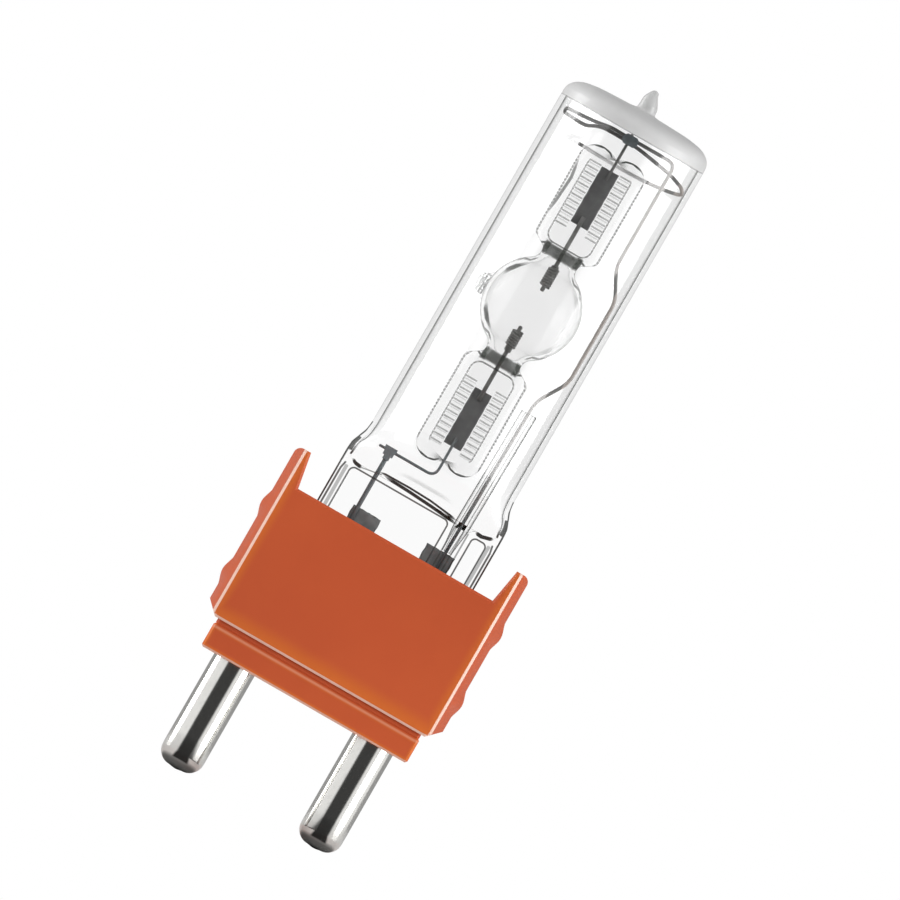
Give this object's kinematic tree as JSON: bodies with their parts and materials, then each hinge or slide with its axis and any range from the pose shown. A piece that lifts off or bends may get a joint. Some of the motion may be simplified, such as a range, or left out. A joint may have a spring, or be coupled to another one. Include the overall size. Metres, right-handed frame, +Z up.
{
  "type": "metal halide lamp",
  "caption": "Clear tubular discharge lamp with a frosted dome and tip, quartz burner and leads inside, pinched into a flat orange moulded base with round contact pins.",
  "frame": {"origin": "centre of the underside of the base plate, midway between the two contact pins", "axes": "+Z up along the lamp's axis to its dome, +X from the left pin to the right pin, -Y out of the broad front face of the base"},
  "size_m": [0.066, 0.039, 0.1977],
  "materials": {
    "jacket_glass": "clear blown quartz glass, its dome frosted",
    "burner_quartz": "clear quartz, ribbed where it is pressed",
    "base_plastic": "orange moulding, glossy with a faint grain",
    "pin_plating": "polished nickel plating",
    "sealing_foil": "thin dark molybdenum foil",
    "electrode_metal": "tungsten, matt grey",
    "lead_wire": "dull drawn wire",
    "clamp_metal": "folded strip, oxidised dark",
    "tag_metal": "plain stamped brass",
    "nut_metal": "plain steel",
    "cement": "rough cast cement"
  },
  "bodies": {
    "root": {"base_plate": "base_plastic", "housing_front": "base_plastic", "housing_back": "base_plastic", "left_contact_pin": "pin_plating", "right_contact_pin": "pin_plating", "left_pin_tag": "tag_metal", "right_pin_tag": "tag_metal", "left_pin_nut": "nut_metal", "right_pin_nut": "nut_metal", "left_seal_foil": "sealing_foil", "right_seal_foil": "sealing_foil", "upper_arc_foil": "sealing_foil", "lower_arc_foil": "sealing_foil", "left_outer_lead": "lead_wire", "right_outer_lead": "lead_wire", "left_post": "lead_wire", "return_lead": "lead_wire", "upper_arc_lead": "lead_wire", "lower_arc_lead": "lead_wire", "top_support_spring": "lead_wire", "upper_electrode_rod": "electrode_metal", "lower_electrode_rod": "electrode_metal", "upper_electrode_coil": "electrode_metal", "lower_electrode_coil": "electrode_metal", "top_clamp": "clamp_metal", "post_clamp": "clamp_metal", "quartz_sleeve": "burner_quartz", "arc_tube": "burner_quartz", "outer_envelope": "jacket_glass", "base_cement": "cement"}
  },
  "joints": []
}
